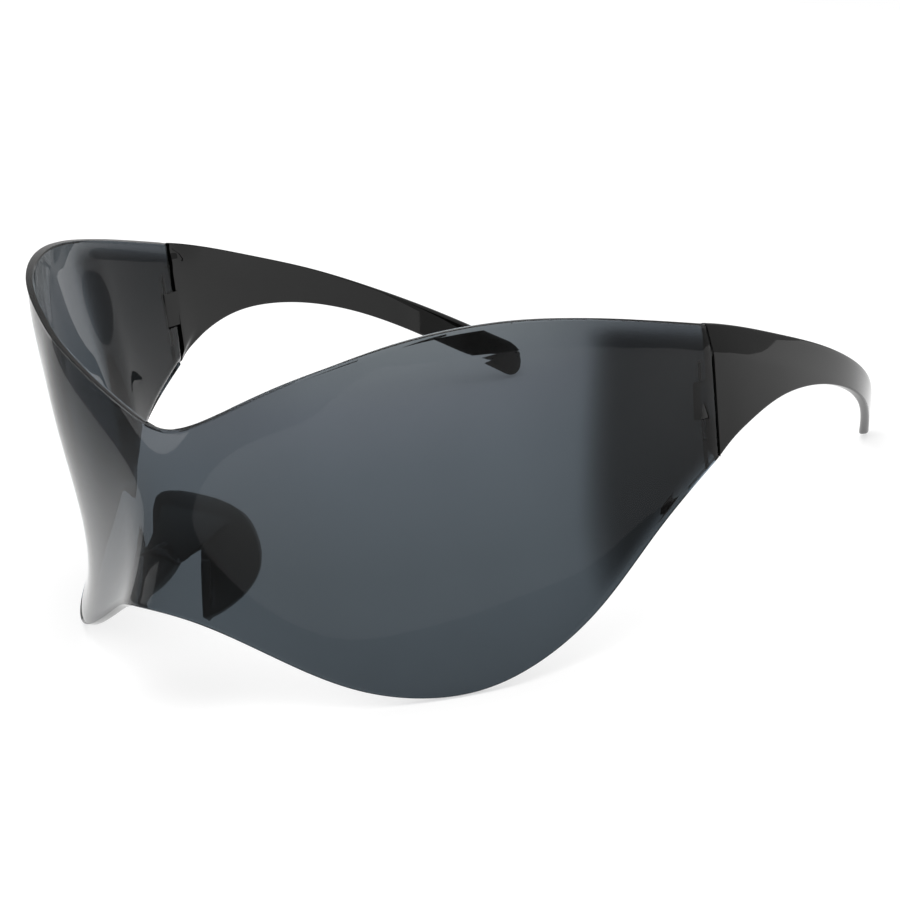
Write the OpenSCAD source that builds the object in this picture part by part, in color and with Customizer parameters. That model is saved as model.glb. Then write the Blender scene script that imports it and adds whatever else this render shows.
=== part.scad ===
// Shield sunglasses: one wrapped lens, a nose saddle behind it, and two temples that fold on
// steel pins. The shape is drawn with the hinge pins upright and the notch in the middle of the
// top edge near the origin, then tipped so that it stands on the lens and the temple tips.

/* [Lens] */
// Width over the lens where it is widest, just ahead of the hinges
lens_w = 151; // [135:1:165]
// How far the hinge seams lie behind the notch in the top edge
wrap_depth = 70; // [60:1:80]
// Height from the crown of the top edge to the lowest edge, seen from the front
lens_h = 70; // [60:1:80]
// Wall thickness over the front and along the edges
lens_t = 1.3; // [1.1:0.1:1.8]
// Wall thickness of the two sides that hold the hinges
seam_t = 2.6; // [2.5:0.1:3.2]
// Length of the thicker sides, ahead of the hinge seams
side_len = 29; // [24:1:34]
// Length over which the wall thickens
side_blend = 9; // [6:1:12]
// Height of the band along the top edge that stays thin on the sides
top_band = 0.5; // [0.5:0.5:2]
// Height over which the wall thickens below that band
top_blend = 3; // [2:0.5:4]
// Height over which the sides grow thin again towards the low edge
low_band = 3; // [2:0.5:4]
// How far the top edge leans in above the hinges
shoulder_in = 1.5; // [0.8:0.1:1.8]
// Height of the band that leans in
shoulder_h = 6; // [4:0.5:8]
// Chamfer along the free edges
edge_cut = 0.4; // [0.2:0.05:0.5]

/* [Temples] */
// Reach of a temple behind its hinge seam
temple_reach = 76; // [66:1:88]
// Thickness over the tip
tip_t = 1.3; // [1.1:0.1:1.8]

/* [Hinges] */
// Diameter of a hinge pin
pin_d = 0.8; // [0.7:0.1:1]
// Radial clearance of a pin in its knuckle
pin_play = 0.03; // [0.02:0.01:0.05]
// Height of a knuckle
knuckle_h = 7; // [5:0.5:8]
// Radius of a knuckle
knuckle_r = 1; // [0.9:0.05:1.1]
// How far a pin stands ahead of its seam
pin_ahead = 2.8; // [2.6:0.1:3.2]
// How deep a pin stands behind the outer face of the lens
pin_depth = 1.6; // [1.5:0.1:1.9]
// Radius of the lens round each pin, on its inner corner
swing_r = 2.1; // [1.8:0.1:2.3]
// Gap between the folding faces
fold_gap = 0.12; // [0.1:0.02:0.2]
// How far a pin reaches into the lens above and below its knuckle
pin_hold = 4; // [3:0.5:4.5]

/* [Nose saddle] */
// Width over both wings
saddle_w = 31; // [27:0.5:35]
// Height from the top of the saddle to the ends of the wings
saddle_h = 22; // [19:0.5:25]
// Wall thickness
saddle_t = 1.8; // [1.4:0.1:2.4]
// Bond line between the saddle and the lens
bond_gap = 0.03; // [0.02:0.01:0.08]

/* [Hidden] */
$fn = 48;

// Stations run from the middle of the lens to the hinge seam. Each list is in percent:
// across as a share of half the lens width, back of wrap_depth, and up of lens_h.
top_across_shares = [0, 14, 29, 43, 52, 69.4, 87.2, 99, 100];
top_back_shares = [2, 3, 4, 7, 11.5, 21, 42, 69.5, 100];
top_up_shares = [-2.5, 2.5, 10, 16.5, 20, 27, 29.5, 23.5, 14];
low_across_shares = [0, 14.5, 31.5, 51.5, 70, 81.5, 89, 96.2, 98.8];
low_back_shares = [-16.5, -6.5, 2, 11, 26, 41, 61, 77.3, 100];
low_up_shares = [-44, -49.3, -59.2, -69.1, -71.5, -66.5, -55.3, -35.1, -22];
// How far the wall swells out of the straight line between the edges, upper and lower third
belly_shares = [3, 3.5, 6, 8, 6, 3, 1.5, 0.5, 0];
flare_shares = [-5, -5, -6, -9.5, -14, -14.5, -11, -6, 0];
// How much of shoulder_in each station has
lean_shares = [0, 0, 0, 0, 0, 20, 60, 87, 100];

// Temple stations run from the seam to the tip; back is a share of temple_reach
arm_top_across_shares = [100, 100, 99.5, 97.5, 94, 89, 79.5, 66.5];
arm_top_back_shares = [0, 5, 14.5, 29, 46.5, 64.5, 80.5, 94.5];
arm_top_up_shares = [14, 12.5, 9, 2.5, -5.5, -16, -27, -39.5];
arm_low_across_shares = [98.8, 100, 100.5, 99.5, 95.5, 89.5, 79, 66.5];
arm_low_back_shares = [0, 4, 10.5, 24, 44, 64, 79, 92];
arm_low_up_shares = [-22, -18, -15, -11.5, -15, -24.5, -36.5, -48.7];
arm_lean_shares = [100, 100, 85, 40, 5, 0, 0, 0];
arm_thick_shares = [100, 110, 110, 80, 45, 22, 30, 50];

// Saddle stations run from the middle to the end of a wing, along its inner and outer edge.
// Across is a share of half saddle_w, back and up are shares of saddle_h.
wing_in_across_shares = [0, 15, 15, 27, 40, 49, 54];
wing_in_back_shares = [25.5, 25.5, 24, 13, 5, 0, -3];
wing_in_up_shares = [-25, -32, -51, -68, -77, -86, -93];
wing_out_across_shares = [0, 41, 84, 104.5, 101, 83, 71];
wing_out_back_shares = [42, 41, 37, 40, 33, 2, -11.5];
wing_out_up_shares = [-1, -2, -7, -40, -67, -85, -89];

across_steps = 96;
down_steps = 14;
band_steps = 3;
arm_steps = 32;
wing_steps = 16;
wing_rows = 6;
percent = 100;
probe = 0.002;
half_w = lens_w / 2;
// A curve just over 1 leaves a crease along the foot of the band that leans in
shoulder_curve = 1.15;

// Smooth curve through a list of control points, with one extra point past each end
function weights(r) = [pow(1 - r, 3), 3 * pow(r, 3) - 6 * r * r + 4,
                       -3 * pow(r, 3) + 3 * r * r + 3 * r + 1, pow(r, 3)] / 6;
function slopes(r) = [-pow(1 - r, 2), 3 * r * r - 4 * r, -3 * r * r + 2 * r + 1, r * r] / 2;
function span(c, s) = max(0, min(floor(s * (len(c) - 3)), len(c) - 4));
function four(c, k) = [c[k], c[k + 1], c[k + 2], c[k + 3]];
function along(c, s) = weights(s * (len(c) - 3) - span(c, s)) * four(c, span(c, s));
function heading(c, s) = slopes(s * (len(c) - 3) - span(c, s)) * four(c, span(c, s));
function past_end(c) = 2 * c[len(c) - 1] - c[len(c) - 2];
function flipped(p) = [-p.x, p.y, p.z];
function mirrored_row(c) = concat([flipped(c[1])], c, [past_end(c)]);
function even_row(c) = concat([c[1]], c, [past_end(c)]);
function open_row(c) = concat([2 * c[0] - c[1]], c, [past_end(c)]);
function row(across, back, up, w, d, h) =
    [for (i = [0:len(across) - 1]) [across[i] * w, back[i] * d, up[i] * h] / percent];
function unit(v) = v / norm(v);

// Outer face of the lens: s runs from hinge to hinge, -1 to 1, and t from the top edge down
top_row = mirrored_row(row(top_across_shares, top_back_shares, top_up_shares, half_w, wrap_depth, lens_h));
low_row = mirrored_row(row(low_across_shares, low_back_shares, low_up_shares, half_w, wrap_depth, lens_h));
belly_row = even_row(belly_shares * lens_h / percent);
flare_row = even_row(flare_shares * lens_h / percent);
lean_row = even_row(lean_shares * shoulder_in / percent);
function outward(v) = unit([v.y, -v.x, 0]);
function swell(a, t) = 3 * t * (1 - t) * ((1 - t) * along(belly_row, a) + t * along(flare_row, a));
function lean(amount, drop) = amount * pow(max(0, 1 - drop / shoulder_h), shoulder_curve);
function half_skin(a, t) =
    let (top = along(top_row, a), low = along(low_row, a))
    top * (1 - t) + low * t
    + outward(heading(top_row, a) + heading(low_row, a))
    * (swell(a, t) - lean(along(lean_row, a), t * norm(top - low)));
function skin(s, t) = s < 0 ? flipped(half_skin(-s, t)) : half_skin(s, t);
function skin_normal(s, t) =
    unit(cross(skin(s, t + probe) - skin(s, t - probe), skin(s + probe, t) - skin(s - probe, t)));
function eased(v) = let (c = max(0, min(1, v))) c * c * (3 - 2 * c);
function below_band(drop) = eased((drop - top_band) / top_blend);
function above_low(rise) = eased(rise / low_band);
function wall(s, t) =
    let (ahead = wrap_depth - skin(s, t).y, h = wall_h(s),
         side = eased((side_len - ahead) / side_blend))
    lens_t + (seam_t - lens_t) * side * below_band(t * h) * above_low((1 - t) * h);
function lining(s, t, depth) = skin(s, t) - skin_normal(s, t) * depth;

// Rows down a wall of height h: one at each edge, one a chamfer in from it, one along the crease,
// and even steps between
function even_steps(low, high, steps) = [for (j = [1:steps]) low + (high - low) * j / steps];
function rows_down(h) =
    let (cut = edge_cut / h, crease = shoulder_h / h)
    concat([0, cut], even_steps(cut, crease, band_steps),
           even_steps(crease, 1 - cut, down_steps - band_steps), [1]);
function at_edge(t) = t == 0 || t == 1 ? edge_cut : 0;
function wall_h(s) = norm(skin(s, 0) - skin(s, 1));
function seam_held(p, s) = abs(s) == 1 ? [p.x, wrap_depth, p.z] : p;
function lens_point(s, t, inner) = seam_held(lining(s, t, inner ? wall(s, t) - at_edge(t) : at_edge(t)), s);
function lens_ring(s) =
    let (rows = rows_down(wall_h(s)), last = len(rows) - 1)
    concat([for (j = [0:last]) lens_point(s, rows[j], false)],
           [for (j = [0:last]) lens_point(s, rows[last - j], true)]);
lens_rings = [for (i = [0:across_steps]) lens_ring(2 * i / across_steps - 1)];

// Left temple, from the seam to its tip
arm_top_row = open_row([for (p = row(arm_top_across_shares, arm_top_back_shares, arm_top_up_shares,
                                     half_w, temple_reach, lens_h)) p + [0, wrap_depth, 0]]);
arm_low_row = open_row([for (p = row(arm_low_across_shares, arm_low_back_shares, arm_low_up_shares,
                                     half_w, temple_reach, lens_h)) p + [0, wrap_depth, 0]]);
arm_lean_row = open_row(arm_lean_shares * shoulder_in / percent);
arm_thick_row = open_row(arm_thick_shares * (seam_t - tip_t) / percent);
function fold_held(p, s) = s == 0 ? [p.x, wrap_depth + fold_gap, p.z] : p;
function arm_point(s, t, depth) =
    let (top = along(arm_top_row, s), low = along(arm_low_row, s),
         out = outward(heading(arm_top_row, s) + heading(arm_low_row, s)))
    fold_held(top * (1 - t) + low * t
              - out * (depth + lean(along(arm_lean_row, s), t * norm(top - low))), s);
arm_even_share = 0.22;
function arm_h(s) = norm(along(arm_top_row, s) - along(arm_low_row, s));
// Near the seam a temple is thin along its edges, as the lens is
function arm_wall(s, t) =
    let (h = arm_h(s), thin = below_band(t * h) * above_low((1 - t) * h))
    tip_t + along(arm_thick_row, s) * (thin + (1 - thin) * eased(s / arm_even_share));
function arm_inside(s, t) = arm_point(s, t, arm_wall(s, t) - at_edge(t));
function arm_ring(s) =
    let (rows = rows_down(arm_h(s)), last = len(rows) - 1)
    concat([for (j = [0:last]) arm_point(s, rows[j], at_edge(rows[j]))],
           [for (j = [0:last]) arm_inside(s, rows[last - j])]);
// Past the last station the tip closes in a round end
tip_turns = [20, 40, 60, 80];
function squeezed(ring, centre, share, push) =
    [for (p = ring) centre + (p - centre) * share + push];
function middle(ring) = [for (k = [0:2]) [for (p = ring) p[k]] * [for (p = ring) 1] / len(ring)];
last_ring = arm_ring(1);
tip_way = unit(heading(arm_top_row, 1) + heading(arm_low_row, 1));
tip_round = arm_h(1) / 2;
arm_rings = concat([for (i = [0:arm_steps]) arm_ring(i / arm_steps)],
                   [for (g = tip_turns)
                    squeezed(last_ring, middle(last_ring), cos(g), tip_way * tip_round * sin(g))]);

// Solid between a row of rings that all have as many points, first half outside and second inside
module ring_body(rings) {
    n = len(rings[0]);
    last = len(rings) - 1;
    sides = [for (i = [0:last - 1], j = [0:n - 1]) each
             [[(i + 1) * n + j, i * n + (j + 1) % n, i * n + j],
              [(i + 1) * n + j, (i + 1) * n + (j + 1) % n, i * n + (j + 1) % n]]];
    caps = [for (j = [0:n / 2 - 2], f = [[j + 1, n - 2 - j, j], [n - 2 - j, n - 1 - j, j]]) each
            [f, [for (k = [2, 1, 0]) f[k] + last * n]]];
    polyhedron([for (r = rings, p = r) p], concat(sides, caps));
}

// Hinge: the pin is upright, and everything round it is laid out from its axis
pin_mid_share = 0.54;
pin_mid = skin(1, pin_mid_share);
pin_x = pin_mid.x - pin_depth;
pin_y = wrap_depth - pin_ahead;
notch_h = knuckle_h + 2 * fold_gap;
pin_top = pin_mid.z + knuckle_h / 2 + pin_hold;
pin_foot = pin_mid.z - knuckle_h / 2 - pin_hold;
pin_len = pin_top - pin_foot;
bore_r = pin_d / 2 + pin_play;
reach = 3 * seam_t;

module at_pin() {
    translate([pin_x, pin_y, pin_mid.z]) children();
}

// Room in the lens for the knuckle, open to the inside
module knuckle_room() {
    at_pin() cylinder(h = notch_h, r = knuckle_r + fold_gap, center = true);
    at_pin() translate([-reach, -knuckle_r - fold_gap, -notch_h / 2])
        cube([reach, reach, notch_h]);
    at_pin() translate([-reach, 0, -notch_h / 2])
        cube([reach + knuckle_r + fold_gap, reach, notch_h]);
}

// The inner corner of the lens is rounded off about the pin, so that the temple can swing past it
module swing_room() {
    at_pin() difference() {
        translate([-reach, 0, -lens_h / 2]) cube([reach, reach, lens_h]);
        cylinder(h = lens_h, r = swing_r, center = true);
    }
    at_pin() translate([-reach - swing_r, -2 * pin_ahead, -lens_h / 2])
        cube([reach, reach + 2 * pin_ahead, lens_h]);
}

module pin_hole() {
    translate([pin_x, pin_y, pin_foot - reach]) cylinder(h = pin_len + reach, d = pin_d);
}

module both_sides() {
    children();
    mirror([1, 0, 0]) children();
}

module lens_shape() {
    difference() {
        ring_body(lens_rings);
        both_sides() {
            knuckle_room();
            swing_room();
            pin_hole();
        }
    }
}

module knuckle() {
    at_pin() cylinder(h = knuckle_h, r = knuckle_r, center = true);
    at_pin() translate([-knuckle_r, 0, -knuckle_h / 2])
        cube([2 * knuckle_r, pin_ahead + edge_cut + fold_gap, knuckle_h]);
}

module temple_shape() {
    difference() {
        union() {
            ring_body(arm_rings);
            knuckle();
        }
        at_pin() cylinder(h = 2 * knuckle_h, r = bore_r, center = true);
    }
}

module pin_shape() {
    translate([pin_x, pin_y, pin_foot]) cylinder(h = pin_len, d = pin_d);
}

// Nose saddle: a bent sheet whose middle is bonded to the lens on a foot
saddle_up_share = -0.21;
saddle_top = [0, 0, lens_h * saddle_up_share];
function wing_row(across, back, up) =
    [for (p = row(across, back, up, saddle_w / 2, saddle_h, saddle_h)) p + saddle_top];
wing_in_row = mirrored_row(wing_row(wing_in_across_shares, wing_in_back_shares, wing_in_up_shares));
wing_out_row = mirrored_row(wing_row(wing_out_across_shares, wing_out_back_shares, wing_out_up_shares));
wing_bow_share = 0.12;
function wing_face(a, b) =
    let (p = along(wing_in_row, a), q = along(wing_out_row, a))
    p * (1 - b) + q * b + [0, -1, 1] * wing_bow_share * saddle_h * b * (1 - b);
function wing_point(s, b) = s < 0 ? flipped(wing_face(-s, b)) : wing_face(s, b);
function wing_normal(s, b) =
    unit(cross(wing_point(s + probe, b) - wing_point(s - probe, b),
               wing_point(s, b + probe) - wing_point(s, b - probe)));
function wing_ring(s) = concat(
    [for (j = [0:wing_rows]) wing_point(s, 1 - j / wing_rows)],
    [for (j = [0:wing_rows]) wing_point(s, j / wing_rows) - wing_normal(s, j / wing_rows) * saddle_t]);
wing_rings = [for (i = [0:2 * wing_steps]) wing_ring(i / wing_steps - 1)];

// The foot is a ramp from the middle of the wings down to the inner face of the lens
foot_share = 0.07;
foot_top_share = 0.7;
foot_low_share = 0.73;
foot_arch_share = 0.035;
foot_back_share = 0.3;
foot_steps = 8;
wing_edge_share = 0.08;
function foot_drop(v, b) =
    foot_top_share + (foot_low_share - foot_top_share) * b + foot_arch_share * v * v;
function foot_front(v, b) = lining(foot_share * v, foot_drop(v, b), lens_t + bond_gap);
function wing_middle(s, b) = wing_point(s, b) - wing_normal(s, b) * saddle_t / 2;
function foot_back(v, b) =
    wing_middle(foot_back_share * v, wing_edge_share + (1 - 2 * wing_edge_share) * b);
function foot_ring(v) = concat(
    [for (j = [0:foot_steps]) foot_front(v, j / foot_steps)],
    [for (j = [0:foot_steps]) foot_back(v, j / foot_steps)]);
foot_rings = [for (i = [0:foot_steps]) foot_ring(2 * i / foot_steps - 1)];

// A leg stands out in front of each wing, from beside the foot to the low end of the wing
leg_top_shares = [56, 4, -44.5];
leg_back_share = 0.38;
leg_top = wing_row([leg_top_shares.x], [leg_top_shares.y], [leg_top_shares.z])[0];
function leg_front(k) = leg_top * (1 - k) + wing_middle(1, 1 - wing_edge_share) * k;
function leg_back(k) = wing_middle(leg_back_share * (1 - k) + k, wing_edge_share);
function leg_ring(k) =
    let (p = leg_front(k), q = leg_back(k),
         n = unit(cross(q - p, leg_front(1) - leg_front(0))) * saddle_t * (1 - wing_edge_share) / 2)
    [p + n, q + n, q - n, p - n];
leg_rings = [for (i = [0:foot_steps]) leg_ring(i / foot_steps)];

module saddle_shape() {
    ring_body(wing_rings);
    ring_body(foot_rings);
    both_sides() ring_body(leg_rings);
}

// Tip the glasses until the lens and the temple tips stand on one level
function turned(p, g) = [p.x, p.y * cos(g) - p.z * sin(g), p.y * sin(g) + p.z * cos(g)];
function lowest(points, g) =
    let (z = [for (p = points) turned(p, g).z], low = min(z))
    [for (i = [0:len(z) - 1]) if (z[i] == low) points[i]][0];
lens_points = [for (r = lens_rings, p = r) p];
arm_points = [for (r = arm_rings, p = r) p];
function settled(g, tries) = tries == 0 ? g :
    let (a = lowest(lens_points, g), b = lowest(arm_points, g))
    settled(-atan2(b.z - a.z, b.y - a.y), tries - 1);
settle_tries = 6;
stand_turn = settled(0, settle_tries);
floor_z = turned(lowest(lens_points, stand_turn), stand_turn).z;
front_y = min([for (p = lens_points) turned(p, stand_turn).y]);
rear_y = max([for (p = arm_points) turned(p, stand_turn).y]);

module stand() {
    translate([0, -(front_y + rear_y) / 2, -floor_z]) rotate([stand_turn, 0, 0]) children();
}

module lens() {
    color([0.23, 0.26, 0.28]) stand() lens_shape();
}

module nose_saddle() {
    color([0.08, 0.08, 0.08]) stand() saddle_shape();
}

module temple_left() {
    color([0.1, 0.1, 0.1]) stand() temple_shape();
}

module temple_right() {
    color([0.1, 0.1, 0.1]) stand() mirror([1, 0, 0]) temple_shape();
}

module hinge_pin_left() {
    color([0.7, 0.7, 0.7]) stand() pin_shape();
}

module hinge_pin_right() {
    color([0.7, 0.7, 0.7]) stand() mirror([1, 0, 0]) pin_shape();
}

lens();
nose_saddle();
temple_left();
temple_right();
hinge_pin_left();
hinge_pin_right();
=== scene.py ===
import bpy, bmesh, math
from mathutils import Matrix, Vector


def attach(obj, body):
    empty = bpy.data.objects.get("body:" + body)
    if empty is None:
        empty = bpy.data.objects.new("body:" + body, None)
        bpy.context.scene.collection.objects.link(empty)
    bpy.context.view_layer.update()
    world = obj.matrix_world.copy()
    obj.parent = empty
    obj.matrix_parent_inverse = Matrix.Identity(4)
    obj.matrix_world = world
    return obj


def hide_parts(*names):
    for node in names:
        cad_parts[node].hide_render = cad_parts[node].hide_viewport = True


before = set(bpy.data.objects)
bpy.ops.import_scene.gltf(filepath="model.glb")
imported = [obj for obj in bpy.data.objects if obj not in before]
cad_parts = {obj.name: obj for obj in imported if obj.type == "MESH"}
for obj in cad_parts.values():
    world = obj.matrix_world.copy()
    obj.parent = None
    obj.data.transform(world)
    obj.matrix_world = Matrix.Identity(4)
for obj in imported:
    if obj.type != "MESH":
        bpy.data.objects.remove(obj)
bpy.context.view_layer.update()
scene = bpy.context.scene

# Degrees beyond which an edge stays sharp, steps of a rounding, and two small tolerances
common = {"sharpAngle": 34, "roundSteps": 3, "atSeam": 1e-6, "weld": 1e-7}
# Material slots of the lens: clear smoke, and black paint as painted shade in the seams and hinge
# hollows
clearSlot, paintedShadeSlot = 0, 1

# The glasses are drawn in millimetres with the hinge pins upright, then tipped on their feet
stand = {"tilt": -6.83191, "back": -62.65185, "lift": 51.4401}


def placed(p):
    turn = math.radians(stand["tilt"])
    c, s = math.cos(turn), math.sin(turn)
    return Vector((p.x, p.y * c - p.z * s + stand["back"],
                   p.y * s + p.z * c + stand["lift"])) / 1000


def flipped(p):
    return Vector((-p.x, p.y, p.z))


def pastEnd(controls):
    return controls[-1] * 2 - controls[-2]


def mirroredRow(controls):
    return [flipped(controls[1])] + controls + [pastEnd(controls)]


def evenRow(controls):
    return [controls[1]] + controls + [pastEnd(controls)]


def openRow(controls):
    return [controls[0] * 2 - controls[1]] + controls + [pastEnd(controls)]


def stations(across, back, up, wide, deep, high):
    return [Vector((a * wide, b * deep, u * high)) / 100 for a, b, u in zip(across, back, up)]


def blended(controls, s, shares):
    spans = len(controls) - 3
    at = max(0, min(int(math.floor(s * spans)), spans - 1))
    total = None
    for k, share in enumerate(shares(s * spans - at)):
        total = controls[at + k] * share if total is None else total + controls[at + k] * share
    return total


def along(controls, s):
    return blended(controls, s, lambda r: ((1 - r) ** 3 / 6, (3 * r ** 3 - 6 * r * r + 4) / 6,
                                           (-3 * r ** 3 + 3 * r * r + 3 * r + 1) / 6, r ** 3 / 6))


def heading(controls, s):
    return blended(controls, s, lambda r: (-(1 - r) ** 2 / 2, (3 * r * r - 4 * r) / 2,
                                           (-3 * r * r + 2 * r + 1) / 2, r * r / 2))


def outward(v):
    return Vector((v.y, -v.x, 0)).normalized()


# Shield lens: stations run from the middle to the hinge, in percent of half the width, of the
# wrap and of the height
shield = {
    "width": 151, "wrap": 70, "height": 70, "wall": 1.3, "seamWall": 2.6,
    "sideLength": 29, "sideBlend": 9, "shoulderIn": 1.5, "shoulderHeight": 6, "shoulderCurve": 1.15,
    "topBand": 0.5, "topBlend": 4.5, "lowBand": 3, "columns": 232, "rows": 64, "bandRows": 12,
    "rimRound": 0.3, "topTrim": 0.03, "lowTrim": 0.1, "seamPaint": 0.02,
    "topAcross": [0, 14, 29, 43, 52, 69.4, 87.2, 99, 100],
    "topBack": [2, 3, 4, 7, 11.5, 21, 42, 69.5, 100],
    "topUp": [-2.5, 2.5, 10, 16.5, 20, 27, 29.5, 23.5, 14],
    "lowAcross": [0, 14.5, 31.5, 51.5, 70, 81.5, 89, 96.2, 98.8],
    "lowBack": [-16.5, -6.5, 2, 11, 26, 41, 61, 77.3, 100],
    "lowUp": [-44, -49.3, -59.2, -69.1, -71.5, -66.5, -55.3, -35.1, -22],
    "belly": [3, 3.5, 6, 8, 6, 3, 1.5, 0.5, 0],
    "flare": [-5, -5, -6, -9.5, -14, -14.5, -11, -6, 0],
    "lean": [0, 0, 0, 0, 0, 20, 60, 87, 100],
}
probe = 0.002
half = shield["width"] / 2
topRow, lowRow = [
    mirroredRow(stations(shield[edge + "Across"], shield[edge + "Back"], shield[edge + "Up"],
                         half, shield["wrap"], shield["height"]))
    for edge in ("top", "low")]
bellyRow = evenRow([v * shield["height"] / 100 for v in shield["belly"]])
flareRow = evenRow([v * shield["height"] / 100 for v in shield["flare"]])
leanRow = evenRow([v * shield["shoulderIn"] / 100 for v in shield["lean"]])


def leanAt(amount, drop):
    return amount * max(0, 1 - drop / shield["shoulderHeight"]) ** shield["shoulderCurve"]


def shieldColumn(s):
    a = abs(s)
    top, low = along(topRow, a), along(lowRow, a)
    return {"top": top, "low": low, "out": outward(heading(topRow, a) + heading(lowRow, a)),
            "belly": along(bellyRow, a), "flare": along(flareRow, a), "lean": along(leanRow, a),
            "drop": (top - low).length, "flip": s < 0}


def skinIn(column, t):
    swell = 3 * t * (1 - t) * ((1 - t) * column["belly"] + t * column["flare"])
    p = column["top"] * (1 - t) + column["low"] * t \
        + column["out"] * (swell - leanAt(column["lean"], t * column["drop"]))
    return flipped(p) if column["flip"] else p


def skin(s, t):
    return skinIn(shieldColumn(s), t)


def shieldNormal(columns, t):
    before, here, after = columns
    return (skinIn(here, t + probe) - skinIn(here, t - probe)).cross(
        skinIn(after, t) - skinIn(before, t)).normalized()


def threeColumns(s):
    return shieldColumn(s - probe), shieldColumn(s), shieldColumn(s + probe)


def lining(s, t, depth):
    columns = threeColumns(s)
    return skinIn(columns[1], t) - shieldNormal(columns, t) * depth


def eased(v):
    c = max(0, min(1, v))
    return c * c * (3 - 2 * c)


def belowBand(drop):
    return eased((drop - shield["topBand"]) / shield["topBlend"])


def aboveLow(rise):
    return eased(rise / shield["lowBand"])


def wallAt(p, t, high):
    ahead = shield["wrap"] - p.y
    side = eased((shield["sideLength"] - ahead) / shield["sideBlend"])
    return shield["wall"] + (shield["seamWall"] - shield["wall"]) * side * belowBand(t * high) \
        * aboveLow((1 - t) * high)


# Share of the way down for a grid row, with one row laid along the crease under the shoulder
def rowDown(row, high, rows, topTrim=0.0, lowTrim=0.0):
    start, crease, end = topTrim / high, shield["shoulderHeight"] / high, 1 - lowTrim / high
    bend = round(rows * shield["bandRows"] / shield["rows"]) / rows
    if row < bend:
        return start + (crease - start) * row / bend
    return crease + (end - crease) * (row - bend) / (1 - bend)


# A sheet is a grid with a second layer behind it; the rim edges of both can be rounded
def sheetGrid(bm, columns, rows):
    bmesh.ops.create_grid(bm, x_segments=columns, y_segments=rows, size=1)
    rim = [e for e in bm.edges if e.is_boundary]
    made = bmesh.ops.extrude_face_region(bm, geom=bm.faces[:])["geom"]
    inner = {v for v in made if isinstance(v, bmesh.types.BMVert)}
    for e in made:
        if isinstance(e, bmesh.types.BMEdge) and any(
                sum(v in inner for v in f.verts) == 2 for f in e.link_faces):
            rim.append(e)
    return inner, rim


def roundRim(bm, rim, size):
    bmesh.ops.bevel(bm, geom=rim, offset=size / 1000, offset_type="OFFSET",
                    segments=common["roundSteps"], profile=0.5, affect="EDGES",
                    clamp_overlap=True, material=-1)


def shadeByAngle(piece, sharpAngle=common["sharpAngle"]):
    for face in piece.data.polygons:
        face.use_smooth = True
    piece.data.set_sharp_from_angle(angle=math.radians(sharpAngle))


def finishMesh(bm, name):
    bmesh.ops.recalc_face_normals(bm, faces=bm.faces[:])
    mesh = bpy.data.meshes.new(name)
    bm.to_mesh(mesh)
    bm.free()
    piece = bpy.data.objects.new(name, mesh)
    scene.collection.objects.link(piece)
    shadeByAngle(piece)
    return piece


def applyModifiers(piece):
    graph = bpy.context.evaluated_depsgraph_get()
    mesh = bpy.data.meshes.new_from_object(piece.evaluated_get(graph), depsgraph=graph)
    old = piece.data
    piece.modifiers.clear()
    piece.data = mesh
    bpy.data.meshes.remove(old)
    mesh.name = piece.name


def combine(piece, tool, how):
    step = piece.modifiers.new(how.lower(), "BOOLEAN")
    step.operation, step.solver, step.object = how, "MANIFOLD", tool
    applyModifiers(piece)
    bpy.data.objects.remove(tool)
    return piece


def mirrorCopy(piece, name):
    bm = bmesh.new()
    bm.from_mesh(piece.data)
    bmesh.ops.scale(bm, vec=(-1, 1, 1), verts=bm.verts[:])
    bmesh.ops.remove_doubles(bm, verts=bm.verts[:], dist=common["weld"])
    return finishMesh(bm, name)


# Hinge: everything is laid out from the middle of the pin
hinge = {
    "pinSize": 0.8, "play": 0.03, "knuckleHeight": 7, "knuckleRadius": 1, "ahead": 2.8,
    "depth": 1.6, "swing": 2.1, "swingTall": 40, "swingTaller": 45, "foldGap": 0.12, "hold": 4,
    "middle": 0.54, "edgeCut": 0.4, "turns": 64, "endRound": 0.1,
}
pinMiddle = skin(1, hinge["middle"])
pinPlace = Vector((pinMiddle.x - hinge["depth"], shield["wrap"] - hinge["ahead"], pinMiddle.z))
pinTop = hinge["knuckleHeight"] / 2 + hinge["hold"]
pinFoot = -pinTop
roomSize = 3 * shield["seamWall"]


def hingeBlock(name, low, high):
    bm = bmesh.new()
    bmesh.ops.create_cube(bm, size=1)
    for v in bm.verts:
        share = v.co + Vector((0.5, 0.5, 0.5))
        v.co = placed(pinPlace + Vector([a + (b - a) * k for a, b, k in zip(low, high, share)]))
    return finishMesh(bm, name)


def hingePost(name, radius, low, high, rounding=0.0):
    bm = bmesh.new()
    bmesh.ops.create_cone(bm, cap_ends=True, segments=hinge["turns"], radius1=radius,
                          radius2=radius, depth=1)
    for v in bm.verts:
        v.co.z = low if v.co.z < 0 else high
    if rounding:
        ends = [e for e in bm.edges if any(len(f.verts) > 4 for f in e.link_faces)]
        bmesh.ops.bevel(bm, geom=ends, offset=rounding, segments=common["roundSteps"],
                        profile=0.5, affect="EDGES", material=-1)
    for v in bm.verts:
        v.co = placed(pinPlace + v.co)
    return finishMesh(bm, name)
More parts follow.
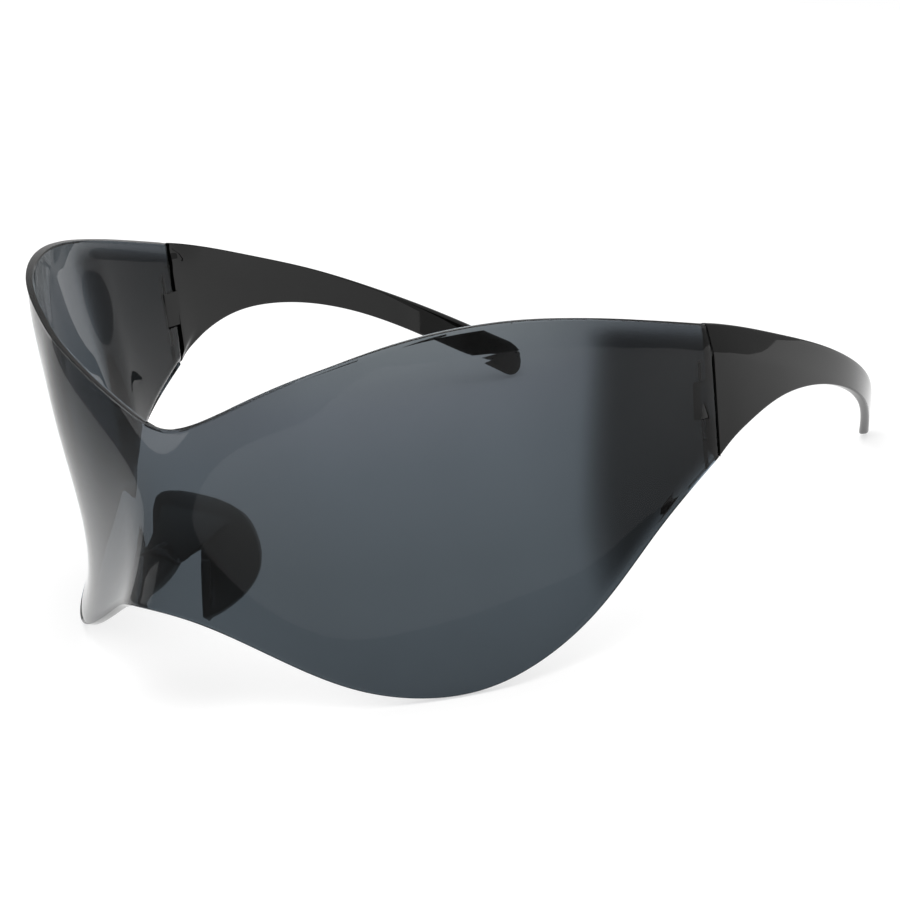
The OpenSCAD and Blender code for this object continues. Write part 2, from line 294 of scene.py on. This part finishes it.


# Room in the lens for the knuckle, for the swing of the temple and for the pin; the shallow cut
# behind the side wall stays clear, the others are painted black as painted shade in the hinge
# hollows
def cutHingeRoom(piece, side):
    wide = hinge["knuckleRadius"] + hinge["foldGap"]
    tall = hinge["knuckleHeight"] / 2 + hinge["foldGap"]
    swing, high, higher = hinge["swing"], hinge["swingTall"], hinge["swingTaller"]
    tools = [
        hingePost("roomRound", wide, -tall, tall),
        hingeBlock("roomInside", (-roomSize, -wide, -tall), (0, roomSize, tall)),
        hingeBlock("roomBehind", (-roomSize, 0, -tall), (wide, roomSize, tall)),
        combine(hingeBlock("swingCorner", (-roomSize, 0, -high), (0, roomSize, high)),
                hingePost("swingRound", swing, -higher, higher), "DIFFERENCE"),
        hingeBlock("swingInside", (-roomSize - swing, -hinge["depth"], -high),
                   (-swing, roomSize, high)),
        hingePost("pinBore", hinge["pinSize"] / 2, pinFoot - roomSize, pinTop),
    ]
    for tool in tools:
        if side < 0:
            flippedTool = mirrorCopy(tool, tool.name + "Far")
            bpy.data.objects.remove(tool)
            tool = flippedTool
        isClear = tool.name.startswith("swingInside")
        paint(tool, piece.data.materials, clearSlot if isClear else paintedShadeSlot)
        combine(piece, tool, "DIFFERENCE")


def paint(piece, materials, index=clearSlot):
    materials = list(materials)
    piece.data.materials.clear()
    for material in materials:
        piece.data.materials.append(material)
    for face in piece.data.polygons:
        face.material_index = index


# The seams and the seats of the hinges are painted black as painted shade in the seam gaps and
# hinge hollows; the rest of the lens is clear smoke
def buildLens(clear, shadePaint):
    bm = bmesh.new()
    inner, rim = sheetGrid(bm, shield["columns"], shield["rows"])
    columns = {}
    for v in bm.verts:
        s, key = v.co.x, round(v.co.x, 6)
        if key not in columns:
            columns[key] = threeColumns(s)
        high = columns[key][1]["drop"]
        t = rowDown((1 - v.co.y) / 2, high, shield["rows"], shield["topTrim"], shield["lowTrim"])
        p = skinIn(columns[key][1], t)
        if v in inner:
            p = p - shieldNormal(columns[key], t) * wallAt(p, t, high)
        if abs(key) == 1:
            p.y = shield["wrap"]
        v.co = placed(p)
    roundRim(bm, rim, shield["rimRound"])
    piece = finishMesh(bm, "smokeShield")
    paint(piece, [clear, shadePaint])
    seam = placed(Vector((half, shield["wrap"] - shield["seamPaint"], pinPlace.z)))
    across = placed(Vector((half, shield["wrap"], pinPlace.z))) - seam
    # Faces past the seam plane get the painted shade
    for face in piece.data.polygons:
        if (face.center - seam).dot(across) > 0:
            face.material_index = paintedShadeSlot
    for side in (1, -1):
        cutHingeRoom(piece, side)
    shadeByAngle(piece)
    return piece


# Temples: stations run from the hinge seam to the tip
temple = {
    "reach": 76, "tipWall": 1.3, "rimRoll": 0.3, "tipRoll": 0.62, "rollFrom": 0.6,
    "rollBlend": 0.3, "rollRows": 4, "columns": 96, "rows": 40, "tipColumns": 14, "tipTurn": 84,
    "evenFrom": 0.22,
    "topAcross": [100, 100, 99.5, 97.5, 94, 89, 79.5, 66.5],
    "topBack": [0, 5, 14.5, 29, 46.5, 64.5, 80.5, 94.5],
    "topUp": [14, 12.5, 9, 2.5, -5.5, -16, -27, -39.5],
    "lowAcross": [98.8, 100, 100.5, 99.5, 95.5, 89.5, 79, 66.5],
    "lowBack": [0, 4, 10.5, 24, 44, 64, 79, 92],
    "lowUp": [-22, -18, -15, -11.5, -15, -24.5, -36.5, -48.7],
    "lean": [100, 100, 95, 55, 8, 0, 0, 0],
    "thick": [100, 110, 110, 80, 45, 22, 30, 50],
}
seamPlace = Vector((0, shield["wrap"], 0))
armTopRow, armLowRow = [
    openRow([p + seamPlace for p in stations(temple[edge + "Across"], temple[edge + "Back"],
                                             temple[edge + "Up"], half, temple["reach"],
                                             shield["height"])])
    for edge in ("top", "low")]
armLeanRow = openRow([v * shield["shoulderIn"] / 100 for v in temple["lean"]])
armThickRow = openRow([v * (shield["seamWall"] - temple["tipWall"]) / 100 for v in temple["thick"]])


def armPoint(s, t, depth):
    top, low = along(armTopRow, s), along(armLowRow, s)
    out = outward(heading(armTopRow, s) + heading(armLowRow, s))
    lean = leanAt(along(armLeanRow, s), t * (top - low).length)
    return top * (1 - t) + low * t - out * (depth + lean)


# The first and last rows roll the rim over: share of the way down, and how far the skin draws in
def rolledRow(row, high, roll):
    edgeRows = temple["rollRows"]
    near = min(row, temple["rows"] - row)
    if near > edgeRows:
        inner = temple["rows"] - 2 * edgeRows
        return rowDown((row - edgeRows) / inner, high, inner, roll, roll), 0
    turn = math.radians(90) * near / edgeRows
    way = roll * (1 - math.cos(turn)) / high
    return (way if row == near else 1 - way), roll * (1 - math.sin(turn))


def buildTemple():
    bm = bmesh.new()
    inner = sheetGrid(bm, temple["columns"] + temple["tipColumns"], temple["rows"])[0]
    straight = temple["columns"] / (temple["columns"] + temple["tipColumns"])
    tipWay = (heading(armTopRow, 1) + heading(armLowRow, 1)).normalized()
    tipRadius = (along(armTopRow, 1) - along(armLowRow, 1)).length / 2
    for v in bm.verts:
        share = (v.co.x + 1) / 2
        s = min(1, share / straight)
        high = (along(armTopRow, s) - along(armLowRow, s)).length
        rolling = eased((s - temple["rollFrom"]) / temple["rollBlend"])
        roll = temple["rimRoll"] + (temple["tipRoll"] - temple["rimRoll"]) * rolling
        t, drawnIn = rolledRow(round((1 - v.co.y) / 2 * temple["rows"]), high, roll)
        thin = belowBand(t * high) * aboveLow((1 - t) * high)
        even = thin + (1 - thin) * eased(s / temple["evenFrom"])
        wall = temple["tipWall"] + along(armThickRow, s) * even
        p = armPoint(s, t, wall - drawnIn if v in inner else drawnIn)
        if share > straight:
            turn = math.radians(temple["tipTurn"]) * (share - straight) / (1 - straight)
            centre = armPoint(1, 0.5, wall / 2)
            p = centre + (p - centre) * math.cos(turn) + tipWay * tipRadius * math.sin(turn)
        if share < common["atSeam"]:
            p.y = shield["wrap"] + hinge["foldGap"]
        v.co = placed(p)
    piece = finishMesh(bm, "gloss.temple.left")
    tall, wide = hinge["knuckleHeight"] / 2, hinge["knuckleRadius"]
    tabEnd = hinge["ahead"] + hinge["edgeCut"] + hinge["foldGap"]
    combine(piece, combine(
        hingePost("knuckle", wide, -tall, tall),
        hingeBlock("tab", (-wide, 0, -tall), (wide, tabEnd, tall)), "UNION"), "UNION")
    bore = hinge["pinSize"] / 2 + hinge["play"]
    combine(piece, hingePost("knuckleBore", bore, -2 * tall, 2 * tall), "DIFFERENCE")
    shadeByAngle(piece)
    return piece


# Nose saddle: a bent sheet, a foot that reaches the lens, and a leg in front of each wing
saddle = {
    "width": 31, "height": 22, "wall": 1.8, "bond": 0.12, "top": -0.21, "bow": 0.12,
    "inAcross": [0, 15, 15, 27, 40, 49, 54], "inBack": [25.5, 25.5, 24, 13, 5, 0, -3],
    "inUp": [-25, -32, -51, -68, -77, -86, -93],
    "outAcross": [0, 41, 84, 104.5, 101, 83, 71], "outBack": [42, 41, 37, 40, 33, 2, -11.5],
    "outUp": [-1, -2, -7, -40, -67, -85, -89],
    "footWide": 0.07, "footTop": 0.7, "footLow": 0.73, "footArch": 0.035, "footBack": 0.3,
    "edge": 0.08, "legTop": [56, 4, -44.5], "legBack": 0.38, "wingGrid": (72, 14),
    "partGrid": (24, 10), "grain": 0.3, "softening": 8, "softFactor": 0.5, "sharpAngle": 60,
}
saddleTop = Vector((0, 0, saddle["top"] * shield["height"]))


def wingRow(across, back, up):
    return [p + saddleTop for p in stations(across, back, up, saddle["width"] / 2,
                                            saddle["height"], saddle["height"])]


wingInRow, wingOutRow = [
    mirroredRow(wingRow(saddle[edge + "Across"], saddle[edge + "Back"], saddle[edge + "Up"]))
    for edge in ("in", "out")]
legTop = wingRow(*[[v] for v in saddle["legTop"]])[0]


def wingPoint(s, b):
    p = along(wingInRow, abs(s)) * (1 - b) + along(wingOutRow, abs(s)) * b
    p = p + Vector((0, -1, 1)) * (saddle["bow"] * saddle["height"] * b * (1 - b))
    return flipped(p) if s < 0 else p


def wingNormal(s, b):
    return (wingPoint(s + probe, b) - wingPoint(s - probe, b)).cross(
        wingPoint(s, b + probe) - wingPoint(s, b - probe)).normalized()


def wingMiddle(s, b):
    return wingPoint(s, b) - wingNormal(s, b) * saddle["wall"] / 2


def footFront(v, b):
    t = saddle["footTop"] + (saddle["footLow"] - saddle["footTop"]) * b + saddle["footArch"] * v * v
    return lining(saddle["footWide"] * v, t, shield["wall"] + saddle["bond"])


def sheetBetween(bm, grid, front, back):
    part = bmesh.new()
    inner = sheetGrid(part, *grid)[0]
    for v in part.verts:
        a, b = (v.co.x + 1) / 2, (v.co.y + 1) / 2
        v.co = placed(back(a, b) if v in inner else front(a, b))
    bmesh.ops.recalc_face_normals(part, faces=part.faces[:])
    mesh = bpy.data.meshes.new("saddlePart")
    part.to_mesh(mesh)
    part.free()
    bm.from_mesh(mesh)
    bpy.data.meshes.remove(mesh)


def legPoint(side, k, share, offset):
    edge = saddle["edge"]
    low = wingMiddle(1, 1 - edge)
    front = legTop * (1 - k) + low * k
    back = wingMiddle(saddle["legBack"] * (1 - k) + k, edge)
    normal = (back - front).cross(low - legTop).normalized() * saddle["wall"] * (1 - edge) / 2
    p = front * (1 - share) + back * share + normal * offset
    return flipped(p) if side < 0 else p


def buildSaddle():
    bm = bmesh.new()
    edge, wall, footBack = saddle["edge"], saddle["wall"], saddle["footBack"]
    sheetBetween(bm, saddle["wingGrid"], lambda a, b: wingPoint(2 * a - 1, b),
                 lambda a, b: wingPoint(2 * a - 1, b) - wingNormal(2 * a - 1, b) * wall)
    sheetBetween(bm, saddle["partGrid"], lambda a, b: footFront(2 * a - 1, b),
                 lambda a, b: wingMiddle(footBack * (2 * a - 1), edge + (1 - 2 * edge) * b))
    for side in (1, -1):
        sheetBetween(bm, saddle["partGrid"], lambda a, b: legPoint(side, a, b, 1),
                     lambda a, b: legPoint(side, a, b, -1))
    piece = finishMesh(bm, "nose.saddle")
    melt = piece.modifiers.new("melt", "REMESH")
    melt.mode, melt.voxel_size = "VOXEL", saddle["grain"] / 1000
    soften = piece.modifiers.new("soften", "SMOOTH")
    soften.factor, soften.iterations = saddle["softFactor"], saddle["softening"]
    applyModifiers(piece)
    shadeByAngle(piece, saddle["sharpAngle"])
    return piece


# Effects shared by the finishes, each with a mask and a height
def effectGroup(name, *inputs):
    group = bpy.data.node_groups.new(name, "ShaderNodeTree")
    for way, labels in (("INPUT", inputs), ("OUTPUT", ("Mask", "Height"))):
        for label in labels:
            group.interface.new_socket(label, in_out=way, socket_type="NodeSocketFloat")
    return group, group.nodes.new("NodeGroupInput"), group.nodes.new("NodeGroupOutput")


def node(tree, kind, **values):
    made = tree.nodes.new(kind)
    for label, value in values.items():
        if label in made.inputs:
            made.inputs[label].default_value = value
        else:
            setattr(made, label, value)
    return made


# Faint wiping marks: long soft smears, with fine spots in the height alone
wiping = {
    "stretch": (18, 60, 34), "turn": (0.3, 0.5, 0.2), "detail": 4.0, "rough": 0.6,
    "low": 0.48, "high": 0.72, "spotScale": 2600.0, "spotDetail": 2.0, "spotShare": 0.08,
}


def wipeMarks():
    group, given, result = effectGroup("wipeMarks", "Size", "Amount")
    place = node(group, "ShaderNodeTexCoord")
    stretch = node(group, "ShaderNodeMapping", Scale=wiping["stretch"], Rotation=wiping["turn"])
    smear = node(group, "ShaderNodeTexNoise", Detail=wiping["detail"], Roughness=wiping["rough"])
    ramp = node(group, "ShaderNodeMapRange")
    ramp.inputs["From Min"].default_value = wiping["low"]
    ramp.inputs["From Max"].default_value = wiping["high"]
    spots = node(group, "ShaderNodeTexNoise", Scale=wiping["spotScale"],
                 Detail=wiping["spotDetail"])
    amount = node(group, "ShaderNodeMath", operation="MULTIPLY")
    joined = node(group, "ShaderNodeMath", operation="MULTIPLY_ADD")
    joined.inputs[1].default_value = wiping["spotShare"]
    link = group.links.new
    link(place.outputs["Object"], stretch.inputs["Vector"])
    link(stretch.outputs["Vector"], smear.inputs["Vector"])
    link(given.outputs["Size"], smear.inputs["Scale"])
    link(place.outputs["Object"], spots.inputs["Vector"])
    link(smear.outputs["Fac"], ramp.inputs["Value"])
    link(ramp.outputs["Result"], amount.inputs[0])
    link(given.outputs["Amount"], amount.inputs[1])
    link(spots.outputs["Fac"], joined.inputs[0])
    link(amount.outputs[0], joined.inputs[2])
    link(amount.outputs[0], result.inputs["Mask"])
    link(joined.outputs[0], result.inputs["Height"])
    return group


# Fine grain for satin plastic and ground steel
graining = {"fineDetail": 3.0, "fineRough": 0.55, "broadScale": 160.0, "broadDetail": 2.0}


def mouldGrain():
    group, given, result = effectGroup("mouldGrain", "Scale", "Amount")
    place = node(group, "ShaderNodeTexCoord")
    fine = node(group, "ShaderNodeTexNoise", Detail=graining["fineDetail"],
                Roughness=graining["fineRough"])
    broad = node(group, "ShaderNodeTexNoise", Scale=graining["broadScale"],
                 Detail=graining["broadDetail"])
    amount = node(group, "ShaderNodeMath", operation="MULTIPLY")
    link = group.links.new
    link(place.outputs["Object"], fine.inputs["Vector"])
    link(given.outputs["Scale"], fine.inputs["Scale"])
    link(place.outputs["Object"], broad.inputs["Vector"])
    link(fine.outputs["Fac"], amount.inputs[0])
    link(given.outputs["Amount"], amount.inputs[1])
    link(broad.outputs["Fac"], result.inputs["Mask"])
    link(amount.outputs[0], result.inputs["Height"])
    return group


wipe, mould = wipeMarks(), mouldGrain()


def finish(name):
    material = bpy.data.materials.new(name)
    material.use_nodes = True
    tree = material.node_tree
    return material, tree, tree.nodes["Principled BSDF"], tree.nodes["Material Output"]


def roughFrom(tree, shader, mask, low, high):
    spread = node(tree, "ShaderNodeMapRange")
    spread.inputs["To Min"].default_value, spread.inputs["To Max"].default_value = low, high
    tree.links.new(mask, spread.inputs["Value"])
    tree.links.new(spread.outputs["Result"], shader.inputs["Roughness"])


def bumpFrom(tree, shader, height, strength, distance):
    bump = node(tree, "ShaderNodeBump", Strength=strength, Distance=distance)
    tree.links.new(height, bump.inputs["Height"])
    tree.links.new(bump.outputs["Normal"], shader.inputs["Normal"])


def placeGroup(tree, group, **values):
    made = tree.nodes.new("ShaderNodeGroup")
    made.node_tree = group
    for label, value in values.items():
        made.inputs[label].default_value = value
    return made


# Smoke tint in shares of the height, from the floor up, and of half the width: it deepens towards
# the sides, and its darkening down the lens is painted shade, the floor's shadow seen through it
smoke = {
    "ior": 1.58, "gloss": 0.25, "density": 1400, "haze": 0.94, "tall": 0.068, "wide": 0.0757,
    "marks": {"Size": 1.0, "Amount": 0.6},
    "upwards": [(0, (0.335, 0.42, 0.495)), (0.35, (0.40, 0.495, 0.58)),
                (0.65, (0.52, 0.63, 0.74)), (0.82, (0.63, 0.73, 0.85)), (1, (0.82, 0.93, 1.0))],
    "aside": [(0.8, (1, 1, 1)), (0.88, (0.9, 0.9, 0.9)), (0.98, (0.62, 0.62, 0.62))],
}


def graded(tree, value, reach, stops):
    share = node(tree, "ShaderNodeMapRange")
    share.inputs["From Max"].default_value = reach
    ramp = node(tree, "ShaderNodeValToRGB")
    marks = ramp.color_ramp.elements
    while len(marks) < len(stops):
        marks.new(0.5)
    for mark, (place, tint) in zip(marks, stops):
        mark.position, mark.color = place, (*tint, 1)
    tree.links.new(value, share.inputs["Value"])
    tree.links.new(share.outputs["Result"], ramp.inputs["Fac"])
    return ramp.outputs["Color"]


def smokeLensWithShade():
    material, tree, shader, output = finish("smoke.lens")
    shader.inputs["Transmission Weight"].default_value = 1
    shader.inputs["Roughness"].default_value = 0
    shader.inputs["IOR"].default_value = smoke["ior"]
    shader.inputs["Specular Tint"].default_value = (*[smoke["gloss"]] * 3, 1)
    marks = placeGroup(tree, wipe, **smoke["marks"])
    place = node(tree, "ShaderNodeTexCoord")
    split = node(tree, "ShaderNodeSeparateXYZ")
    across = node(tree, "ShaderNodeMath", operation="ABSOLUTE")
    both = node(tree, "ShaderNodeMix", data_type="RGBA", blend_type="MULTIPLY")
    both.inputs["Factor"].default_value = 1
    worn = node(tree, "ShaderNodeMix", data_type="RGBA", blend_type="MULTIPLY")
    worn.inputs["B"].default_value = (*[smoke["haze"]] * 3, 1)
    link = tree.links.new
    link(place.outputs["Object"], split.inputs["Vector"])
    link(split.outputs["X"], across.inputs[0])
    # The height grade darkens the lens downwards: painted shade of the floor's shadow behind it
    link(graded(tree, split.outputs["Z"], smoke["tall"], smoke["upwards"]), both.inputs["A"])
    link(graded(tree, across.outputs[0], smoke["wide"], smoke["aside"]), both.inputs["B"])
    link(both.outputs["Result"], worn.inputs["A"])
    link(marks.outputs["Mask"], worn.inputs["Factor"])
    link(worn.outputs["Result"], shader.inputs["Base Color"])
    absorb = node(tree, "ShaderNodeVolumeAbsorption", Density=smoke["density"])
    absorb.inputs["Color"].default_value = (0, 0, 0, 1)
    link(absorb.outputs["Volume"], output.inputs["Volume"])
    return material


# Opaque finishes: the effect's mask moves the roughness and the shade, its height gives a fine bump
gloss = {
    "colour": (0.0035, 0.0036, 0.0034), "marked": 1.7, "rough": (0.03, 0.09), "bump": 0.02,
    "effect": {"Size": 1.4, "Amount": 0.8}, "shader": {"IOR": 1.39},
}
satin = {
    "colour": (0.2, 0.2, 0.2), "marked": 1.3, "rough": (0.28, 0.42), "bump": 0.08,
    "effect": {"Scale": 1500.0, "Amount": 0.6}, "shader": {},
}
steelPin = {
    "colour": (0.62, 0.62, 0.63), "marked": 0.8, "rough": (0.22, 0.4), "bump": 0.05,
    "effect": {"Scale": 4200.0, "Amount": 0.8}, "shader": {"Metallic": 1},
}
bumpDistance = 0.0001


def opaque(name, effect, values):
    material, tree, shader, output = finish(name)
    for label, value in values["shader"].items():
        shader.inputs[label].default_value = value
    marks = placeGroup(tree, effect, **values["effect"])
    roughFrom(tree, shader, marks.outputs["Mask"], *values["rough"])
    shade = node(tree, "ShaderNodeMix", data_type="RGBA")
    shade.inputs["A"].default_value = (*values["colour"], 1)
    shade.inputs["B"].default_value = (*[v * values["marked"] for v in values["colour"]], 1)
    tree.links.new(marks.outputs["Mask"], shade.inputs["Factor"])
    tree.links.new(shade.outputs["Result"], shader.inputs["Base Color"])
    bumpFrom(tree, shader, marks.outputs["Height"], values["bump"], bumpDistance)
    return material


def dress(piece, material, body, solid):
    if material:
        paint(piece, [material])
    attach(piece, body)
    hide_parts(solid)
    print("built", piece.name, len(piece.data.polygons), "faces")


black, steel = opaque("gloss.black", wipe, gloss), opaque("ground.steel", mould, steelPin)
dress(buildLens(smokeLensWithShade(), black), None, "front", "lens")
dress(buildSaddle(), opaque("satin.black", mould, satin), "front", "nose_saddle")
templeLeft = buildTemple()
templeRight = mirrorCopy(templeLeft, "gloss.temple.right")
dress(templeLeft, black, "left_arm", "temple_left")
dress(templeRight, black, "right_arm", "temple_right")
pinLeft = hingePost("hinge.pin.left", hinge["pinSize"] / 2, pinFoot, pinTop, hinge["endRound"])
pinRight = mirrorCopy(pinLeft, "hinge.pin.right")
dress(pinLeft, steel, "front", "hinge_pin_left")
dress(pinRight, steel, "front", "hinge_pin_right")


# Studio: pale floor and sky, two soft lamps and the camera of the photograph
studio = {
    "floorSize": 0.55, "floorShift": (-0.25, -0.25, 0), "floorColour": 0.82, "floorRough": 0.9,
    "ownLight": 0.62, "litShare": 0.45, "ownThrough": 0.15, "litThrough": 0.8,
    "skyLow": 0.5, "skyHigh": 0.9,
}


# Camera, glossy and transmitted rays see a floor with some light of its own; it keeps the shadow
def buildFloor():
    bm = bmesh.new()
    bmesh.ops.create_grid(bm, x_segments=2, y_segments=2, size=studio["floorSize"])
    bmesh.ops.translate(bm, vec=studio["floorShift"], verts=bm.verts[:])
    floor = finishMesh(bm, "floor")
    material, tree, shader, output = finish("pale.floor")
    shader.inputs["Base Color"].default_value = (*[studio["floorColour"]] * 3, 1)
    shader.inputs["Roughness"].default_value = studio["floorRough"]
    shader.inputs["Specular IOR Level"].default_value = 0
    path = node(tree, "ShaderNodeLightPath")
    either = node(tree, "ShaderNodeMath", operation="MAXIMUM")
    link = tree.links.new
    link(path.outputs["Is Camera Ray"], either.inputs[0])
    link(path.outputs["Is Glossy Ray"], either.inputs[1])
    base = shader
    for share, glow, ray in (("litThrough", "ownThrough", path.outputs["Is Transmission Ray"]),
                             ("litShare", "ownLight", either.outputs[0])):
        lit = node(tree, "ShaderNodeBsdfDiffuse")
        lit.inputs["Color"].default_value = (*[studio[share]] * 3, 1)
        own = node(tree, "ShaderNodeEmission", Strength=studio[glow])
        shown = node(tree, "ShaderNodeAddShader")
        mix = node(tree, "ShaderNodeMixShader")
        link(lit.outputs[0], shown.inputs[0])
        link(own.outputs[0], shown.inputs[1])
        link(ray, mix.inputs[0])
        link(base.outputs[0], mix.inputs[1])
        link(shown.outputs[0], mix.inputs[2])
        base = mix
    link(base.outputs[0], output.inputs["Surface"])
    floor.data.materials.append(material)


# The sky is white where it is seen, also through the lens, and grows brighter upwards elsewhere
def buildSky():
    world = bpy.data.worlds.new("studio.sky")
    scene.world = world
    world.use_nodes = True
    tree = world.node_tree
    back = tree.nodes["Background"]
    back.inputs["Color"].default_value = (1, 1, 1, 1)
    path = node(tree, "ShaderNodeLightPath")
    either = node(tree, "ShaderNodeMath", operation="MAXIMUM")
    place = node(tree, "ShaderNodeTexCoord")
    split = node(tree, "ShaderNodeSeparateXYZ")
    height = node(tree, "ShaderNodeMapRange")
    height.inputs["To Min"].default_value = studio["skyLow"]
    height.inputs["To Max"].default_value = studio["skyHigh"]
    level = node(tree, "ShaderNodeMapRange")
    link = tree.links.new
    link(place.outputs["Generated"], split.inputs["Vector"])
    link(split.outputs["Z"], height.inputs["Value"])
    link(height.outputs["Result"], level.inputs["To Min"])
    link(path.outputs["Is Camera Ray"], either.inputs[0])
    link(path.outputs["Is Transmission Ray"], either.inputs[1])
    link(either.outputs[0], level.inputs["Value"])
    link(level.outputs["Result"], back.inputs["Strength"])


def softbox(name, place, target, size, power):
    light = bpy.data.lights.new(name, "AREA")
    light.shape, light.size, light.energy = "SQUARE", size, power
    lamp = bpy.data.objects.new(name, light)
    lamp.location = place
    lamp.rotation_euler = (Vector(target) - Vector(place)).to_track_quat("-Z", "Y").to_euler()
    scene.collection.objects.link(lamp)


lamps = {
    "overhead": ((0.1, 0.1, 1.5), (0, 0, 0.02), 1.4, 11),
    "frontFill": ((-0.9, -1.1, 0.9), (0, 0, 0.03), 0.9, 4),
}
view = {
    "place": (0.59656, -0.526302, 0.328763), "turn": (68.3489, 10.7138, 43.9743),
    "lens": 175.586, "sensor": 36, "clip": 0.05,
}


def buildCamera():
    data = bpy.data.cameras.new("photo.view")
    data.lens, data.sensor_width, data.clip_start = view["lens"], view["sensor"], view["clip"]
    camera = bpy.data.objects.new("photo.view", data)
    camera.location = view["place"]
    camera.rotation_euler = [math.radians(v) for v in view["turn"]]
    scene.collection.objects.link(camera)
    scene.camera = camera


buildFloor()
buildSky()
for name, (place, target, size, power) in lamps.items():
    softbox(name, place, target, size, power)
buildCamera()
scene.view_settings.view_transform = "Standard"
print("studio built")
